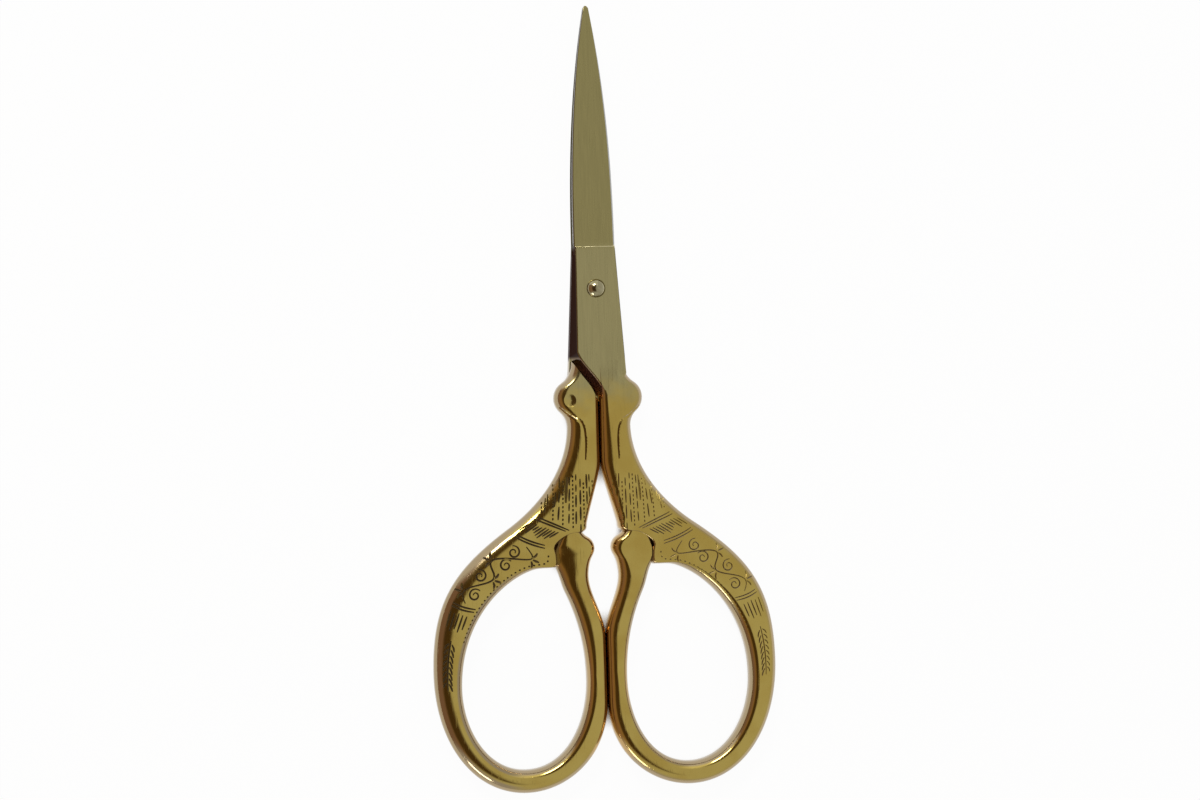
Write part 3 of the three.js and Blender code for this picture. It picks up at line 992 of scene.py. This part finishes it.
def mixColour(tree, x, y, factor, first, second, blend="MIX"):
    node = addNode(tree, "ShaderNodeMix", x, y)
    node.data_type = "RGBA"
    node.blend_type = blend
    for socket, value in ((node.inputs[0], factor), (node.inputs[6], first), (node.inputs[7], second)):
        feed(tree, socket, value)
    return node.outputs[2]


def noiseNode(tree, x, y, vector, scale, detail):
    node = addNode(tree, "ShaderNodeTexNoise", x, y)
    for socket, value in (("Vector", vector), ("Scale", scale), ("Detail", detail)):
        feed(tree, node.inputs[socket], value)
    return node.outputs["Fac"]


def partsOf(tree, x, y, vector):
    node = addNode(tree, "ShaderNodeSeparateXYZ", x, y)
    feed(tree, node.inputs["Vector"], vector)
    return node.outputs


# Wear. Ranges are parts of a noise that runs from 0 to 1.
wear = {
    "smudgeDetail": 4,
    "smudgeRoughness": 0.55,
    "smudgeRange": (0.38, 0.68),
    "scratchTurns": (8, -24),       # degrees, so that the two sets of scratches differ
    "scratchStretch": 0.035,
    "scratchDetail": 2,
    "scratchRange": (0.62, 0.74),
    "waviness": 0.6,
    "scratchHeight": -0.15,
}


# Marks of use, shared by every metal here: cloudy smudges, fine hair scratches, and the height of both.
def handlingMarks():
    w = wear
    group = bpy.data.node_groups.new("handlingMarks", "ShaderNodeTree")
    group.interface.new_socket("Vector", in_out="INPUT", socket_type="NodeSocketVector")
    group.interface.new_socket("Smudge Scale", in_out="INPUT", socket_type="NodeSocketFloat")
    group.interface.new_socket("Scratch Scale", in_out="INPUT", socket_type="NodeSocketFloat")
    for name in ("Smudge", "Scratch", "Height"):
        group.interface.new_socket(name, in_out="OUTPUT", socket_type="NodeSocketFloat")
    entry = addNode(group, "NodeGroupInput", -1000, 0).outputs
    cloud = noiseNode(group, -700, 250, entry["Vector"], entry["Smudge Scale"], w["smudgeDetail"])
    cloud.node.inputs["Roughness"].default_value = w["smudgeRoughness"]
    smudge = rangeNode(group, -450, 250, cloud, *w["smudgeRange"])
    hairs = []
    for i, degrees in enumerate(w["scratchTurns"]):
        row = -60 - 320 * i
        turned = addNode(group, "ShaderNodeMapping", -800, row)
        feed(group, turned.inputs["Vector"], entry["Vector"])
        turned.inputs["Rotation"].default_value = (0, 0, math.radians(degrees))
        turned.inputs["Scale"].default_value = (1, w["scratchStretch"], 1)
        stretched = turned.outputs["Vector"]
        hair = noiseNode(group, -600, row, stretched, entry["Scratch Scale"], w["scratchDetail"])
        hairs.append(rangeNode(group, -400, row, hair, *w["scratchRange"]))
    scratch = mathNode(group, "MAXIMUM", -200, -200, *hairs)
    waviness = mathNode(group, "MULTIPLY", -200, 150, cloud, w["waviness"])
    dents = mathNode(group, "MULTIPLY", -40, -200, scratch, w["scratchHeight"])
    height = mathNode(group, "ADD", 120, 0, waviness, dents)
    leave = addNode(group, "NodeGroupOutput", 320, 0)
    for name, value in (("Smudge", smudge), ("Scratch", scratch), ("Height", height)):
        feed(group, leave.inputs[name], value)
    return group


marksOfUse = handlingMarks()


def newFinish(name, smudgeScale, scratchScale):
    material = bpy.data.materials.new(name)
    material.use_nodes = True
    tree = material.node_tree
    shader = tree.nodes["Principled BSDF"]
    shader.inputs["Metallic"].default_value = 1
    position = addNode(tree, "ShaderNodeTexCoord", -1800, 0).outputs["Object"]
    marks = addNode(tree, "ShaderNodeGroup", -1500, -250)
    marks.node_tree = marksOfUse
    feed(tree, marks.inputs["Vector"], position)
    feed(tree, marks.inputs["Smudge Scale"], smudgeScale)
    feed(tree, marks.inputs["Scratch Scale"], scratchScale)
    return material, tree, shader.inputs, position, marks.outputs


# A roughness with what smudges and scratches add to it.
def dulled(tree, base, marks, smudged, scratched):
    smudge = mathNode(tree, "MULTIPLY", -700, -380, marks["Smudge"], smudged)
    scratch = mathNode(tree, "MULTIPLY", -520, -400, marks["Scratch"], scratched)
    roughness = mathNode(tree, "ADD", -340, -260, base, smudge)
    return mathNode(tree, "ADD", -160, -280, roughness, scratch)


def addRelief(tree, shader, marks, strength, height):
    relief = addNode(tree, "ShaderNodeBump", -160, -480)
    relief.inputs["Strength"].default_value = strength
    relief.inputs["Distance"].default_value = height
    feed(tree, relief.inputs["Height"], marks["Height"])
    feed(tree, shader["Normal"], relief.outputs["Normal"])


# Bare steel, ground along the blade.
def groundSteel(tree, position, onBlade):
    f = finish
    grain = addNode(tree, "ShaderNodeMapping", -1500, 900)
    feed(tree, grain.inputs["Vector"], position)
    grain.inputs["Scale"].default_value = (1, f["grainStretch"], 1)
    streak = noiseNode(tree, -1300, 900, grain.outputs["Vector"], f["grainScale"], f["grainDetail"])
    streakTone = rangeNode(tree, -1100, 900, streak, *f["grainRange"], *f["grainTone"])
    steel = mixColour(tree, -700, 260, onBlade, f["ricassoSteel"], f["bladeSteel"])
    return mixColour(tree, -520, 300, 1.0, steel, streakTone, "MULTIPLY")


# How flat a face lies, from 0 on an upright side to 1 on a level face.
def flatness(tree):
    shape = addNode(tree, "ShaderNodeNewGeometry", -1500, -560)
    turned = addNode(tree, "ShaderNodeVectorTransform", -1320, -560)
    turned.vector_type = "NORMAL"
    turned.convert_from = "WORLD"
    turned.convert_to = "OBJECT"
    feed(tree, turned.inputs["Vector"], shape.outputs["Normal"])
    facing = partsOf(tree, -1140, -560, turned.outputs["Vector"])
    return mathNode(tree, "ABSOLUTE", -960, -560, facing["Z"])


# Where the painted side reflection and shade lie: on steep faces, and over a wider band of the rear bow's
# outer limb.
def paintedSideMask(tree, spot, flat):
    side = rangeNode(tree, -780, -560, flat, *finish["sideFacing"])
    paintedFlank = rangeNode(tree, -960, -1240, spot["X"], *finish["paintedFlankFrom"])
    rounded = rangeNode(tree, -780, -1240, flat, *finish["paintedFlankFacing"])
    paintedFlank = mathNode(tree, "MULTIPLY", -560, -1240, paintedFlank, rounded)
    return mathNode(tree, "MAXIMUM", -560, -560, side, paintedFlank)


# Painted reflection and shade: the rounded and upright sides get a browner or darker tone than the
# polished faces.
def paintedSideTone(tree, spot, onBlade, sidePlated):
    f = finish
    # painted warm reflection next to the seam, and on the crossing's walls above it
    fromSeam = mathNode(tree, "ABSOLUTE", -960, -700, spot["X"])
    atSeam = rangeNode(tree, -780, -700, fromSeam, *f["seamReach"])
    belowLap = rangeNode(tree, -780, -940, spot["Y"], *f["lapFoot"])
    paintedSeamTone = mixColour(tree, -560, -940, belowLap, f["paintedLapSide"], f["paintedSeamSide"])
    paintedGoldSide = mixColour(tree, -560, -660, atSeam, f["paintedGoldSide"], paintedSeamTone)
    paintedSteelSide = mixColour(tree, -560, 180, onBlade, f["paintedRicassoSide"], f["paintedBladeSide"])
    return mixColour(tree, -340, -80, sidePlated, paintedSteelSide, paintedGoldSide)


# A painted highlight along the edge where the ricasso steps up from the blade.
def stepHighlightMask(tree, spot, flat):
    mask = rangeNode(tree, -780, -1480, spot["Y"], *finish["stepFrom"])
    limits = ((spot["Y"], "stepTo"), (flat, "stepFacing"), (spot["X"], "stepStart"))
    for i, (value, reach) in enumerate(limits):
        limit = rangeNode(tree, -780, -1720 - 240 * i, value, *finish[reach])
        mask = mathNode(tree, "MULTIPLY", -560 + 160 * i, -1480, mask, limit)
    return mask


def gildedSteel():
    f = finish
    material, tree, shader, position, marks = newFinish("gildedSteel", *f["marks"])
    spot = partsOf(tree, -1500, 300, position)

    # where bare steel turns into plating, with an uneven edge on the faces
    ragged = noiseNode(tree, -1500, 520, position, f["raggedScale"], f["raggedDetail"])
    shift = mathNode(tree, "MULTIPLY_ADD", -1300, 520, ragged, f["raggedReach"], -f["raggedReach"] / 2)
    level = mathNode(tree, "ADD", -1120, 420, spot["Y"], shift)
    plated = rangeNode(tree, -940, 420, level, *f["platingStart"])
    sidePlated = rangeNode(tree, -560, -80, spot["Y"], *f["sidePlating"])
    onBlade = rangeNode(tree, -940, 180, spot["Y"], *f["bladeStart"])

    gold = mixColour(tree, -700, 20, marks["Smudge"], f["gold"], f["goldDeep"])
    metal = mixColour(tree, -340, 160, plated, groundSteel(tree, position, onBlade), gold)
    flat = flatness(tree)
    # painted reflection and shade on the sides
    sides = paintedSideTone(tree, spot, onBlade, sidePlated)
    metal = mixColour(tree, -160, 120, paintedSideMask(tree, spot, flat), metal, sides)
    # a painted highlight along the ricasso's upper edge
    metal = mixColour(tree, -80, 120, stepHighlightMask(tree, spot, flat), metal, f["stepHighlight"])
    cut = addNode(tree, "ShaderNodeAttribute", -780, -820)
    cut.attribute_name = "engraving"
    metal = mixColour(tree, 20, 100, cut.outputs["Fac"], metal, f["cutBrown"])
    feed(tree, shader["Base Color"], metal)

    # painted shade: a duller reflection on the ricasso's sides, seen almost edge on
    bright = mathNode(tree, "MAXIMUM", -560, -1100, sidePlated, onBlade)
    rim = mixColour(tree, -340, -1100, bright, f["ricassoRimShade"], f["plainRim"])
    feed(tree, shader["Specular Tint"], rim)

    # polished plating, duller steel, and dull dirt in the cuts
    base = rangeNode(tree, -700, -240, plated, 0, 1, f["steelRoughness"], f["goldRoughness"])
    dirt = mathNode(tree, "MULTIPLY", -160, -700, cut.outputs["Fac"], f["cutRoughness"])
    roughness = mathNode(tree, "ADD", 20, -280, dulled(tree, base, marks, *f["dulling"]), dirt)
    feed(tree, shader["Roughness"], roughness)
    addRelief(tree, shader, marks, *f["relief"])
    return material


def screwSteel():
    f = finish
    material, tree, shader, position, marks = newFinish("screwSteel", *f["screwMarks"])
    colour = mixColour(tree, -340, 120, marks["Smudge"], f["screwSteel"], f["screwDull"])
    feed(tree, shader["Base Color"], colour)
    feed(tree, shader["Roughness"], dulled(tree, f["screwRoughness"], marks, *f["screwDulling"]))
    addRelief(tree, shader, marks, *f["screwRelief"])
    return material


gilding = gildedSteel()
for obj in (front, rear):
    obj.data.materials.append(gilding)
rivet.data.materials.append(screwSteel())
print("finishes made")

for piece, body, node, slotName in (
    (front, "front", "front_half", "gilded_steel"),
    (rear, "rear", "rear_half", "gilded_steel"),
    (rivet, "rear", "pivot_screw", "screw_steel"),
):
    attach(piece, body)
    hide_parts(node)

# Studio: pale floor, an even grey room that is dark on the left, and two softboxes beside that.
studio = {
    "floorSize": 3.0,
    "floorDrop": 0.0001,
    "floorColour": (0.92, 0.92, 0.915),
    "floorGlow": 0.96,      # share of plain white that the eye and the metal see in the floor
    "floorRoughness": 0.9,
    "floorShine": 0.1,
    "slotReach": 0.002,
    "slotShade": (0.15, 0.45),
    "room": (0.62, 0.61, 0.59),
    "backWall": (1.0, 0.99, 0.96),
    "darkSide": (0.085, 0.05, 0.025),
    "warmSide": (0.36, 0.22, 0.14),  # low on the left, under the dark part
    "darkEdge": (-0.03, -0.20),     # this and the next five are parts of a direction of length 1
    "darkSpread": -0.35,
    "darkMiddle": (0.7, 0.5),
    "darkHeight": (0.6, 0.8),
    "wallBehind": (0.35, 0.65),
    "wallLeft": (0.45, 0.2),
    "lean": -9.92,
    "pitch": 0.71,
    "roll": -1.86,
    "distance": 0.3028,
    "target": (0.00031, -0.01446, 0.00175),
    "lens": 69.83,
    "sensor": 36,
    "clipStart": 0.01,
    "softboxes": {
        "backLeft": ((-0.19, 0.42, 0.43), (0.24, 0.11), 1.5),
        "frontLeft": ((-0.30, -0.52, 0.15), (0.2, 0.1), 0.4),
    },
}


def paleFloor():
    deselectAll()
    bpy.ops.mesh.primitive_plane_add(size=studio["floorSize"], location=(0, 0, -studio["floorDrop"]))
    floor = bpy.context.active_object
    floor.name = "floor"
    material = bpy.data.materials.new("floorPaper")
    material.use_nodes = True
    tree = material.node_tree
    paper = tree.nodes["Principled BSDF"]
    paper.inputs["Base Color"].default_value = (*studio["floorColour"], 1)
    paper.inputs["Roughness"].default_value = studio["floorRoughness"]
    paper.inputs["Specular IOR Level"].default_value = studio["floorShine"]
    white = addNode(tree, "ShaderNodeEmission", 0, -200)
    ray = addNode(tree, "ShaderNodeLightPath", -400, 300)
    seen = mathNode(tree, "MAXIMUM", -200, 300, ray.outputs["Is Camera Ray"], ray.outputs["Is Glossy Ray"])
    seen = mathNode(tree, "MAXIMUM", -40, 300, seen, ray.outputs["Is Transmission Ray"])
    # paper deep in a slot between two limbs keeps its shade
    crevice = addNode(tree, "ShaderNodeAmbientOcclusion", -400, 560)
    crevice.inputs["Distance"].default_value = studio["slotReach"]
    daylight = rangeNode(tree, -200, 560, crevice.outputs["AO"], *studio["slotShade"])
    glow = mathNode(tree, "MULTIPLY", 0, 460, daylight, studio["floorGlow"])
    share = mathNode(tree, "MULTIPLY", 120, 300, seen, glow)
    blend = addNode(tree, "ShaderNodeMixShader", 300, 0)
    tree.links.new(share, blend.inputs[0])
    tree.links.new(paper.outputs[0], blend.inputs[1])
    tree.links.new(white.outputs[0], blend.inputs[2])
    tree.links.new(blend.outputs[0], tree.nodes["Material Output"].inputs["Surface"])
    floor.data.materials.append(material)


def greyRoom():
    s = studio
    world = bpy.data.worlds.new("studio")
    scene.world = world
    world.use_nodes = True
    tree = world.node_tree
    direction = addNode(tree, "ShaderNodeTexCoord", -900, 0)
    towards = partsOf(tree, -720, 0, direction.outputs["Generated"])
    aside = mathNode(tree, "ABSOLUTE", -540, -120, towards["Y"])
    spread = mathNode(tree, "MULTIPLY", -540, 120, aside, s["darkSpread"])
    reach = mathNode(tree, "ADD", -360, 120, towards["X"], spread)
    left = rangeNode(tree, -180, 120, reach, *s["darkEdge"])
    middle = rangeNode(tree, -360, -120, aside, *s["darkMiddle"])
    shaded = mathNode(tree, "MULTIPLY", -20, 60, left, middle)
    high = rangeNode(tree, -540, -360, towards["Z"], *s["darkHeight"])
    shade = mixColour(tree, -180, -240, high, s["warmSide"], s["darkSide"])
    # a paler wall behind the tips
    behind = rangeNode(tree, -540, -560, towards["Y"], *s["wallBehind"])
    notRight = rangeNode(tree, -540, -760, towards["X"], *s["wallLeft"])
    wall = mathNode(tree, "MULTIPLY", -360, -560, behind, notRight)
    room = mixColour(tree, -180, -560, wall, s["room"], s["backWall"])
    feed(tree, tree.nodes["Background"].inputs["Color"], mixColour(tree, 160, 60, shaded, room, shade))


def softbox(name, spot, size, power):
    light = bpy.data.lights.new(name, "AREA")
    light.shape = "RECTANGLE"
    light.size, light.size_y = size
    light.energy = power
    lamp = bpy.data.objects.new(name, light)
    scene.collection.objects.link(lamp)
    lamp.location = spot
    lamp.rotation_euler = Vector(spot).to_track_quat("Z", "Y").to_euler()


paleFloor()
greyRoom()
for name, (spot, size, power) in studio["softboxes"].items():
    softbox(name, spot, size, power)
print("studio lit")

camera = bpy.data.objects.new("camera", bpy.data.cameras.new("camera"))
scene.collection.objects.link(camera)
turn = (
    Matrix.Rotation(math.radians(studio["lean"]), 4, "Y")
    @ Matrix.Rotation(math.radians(studio["pitch"]), 4, "X")
    @ Matrix.Rotation(math.radians(studio["roll"]), 4, "Z")
)
back = turn.to_3x3() @ Vector((0, 0, studio["distance"]))
camera.matrix_world = Matrix.Translation(Vector(studio["target"]) + back) @ turn
camera.data.lens = studio["lens"]
camera.data.sensor_width = studio["sensor"]
camera.data.clip_start = studio["clipStart"]
scene.camera = camera
scene.view_settings.view_transform = "Standard"
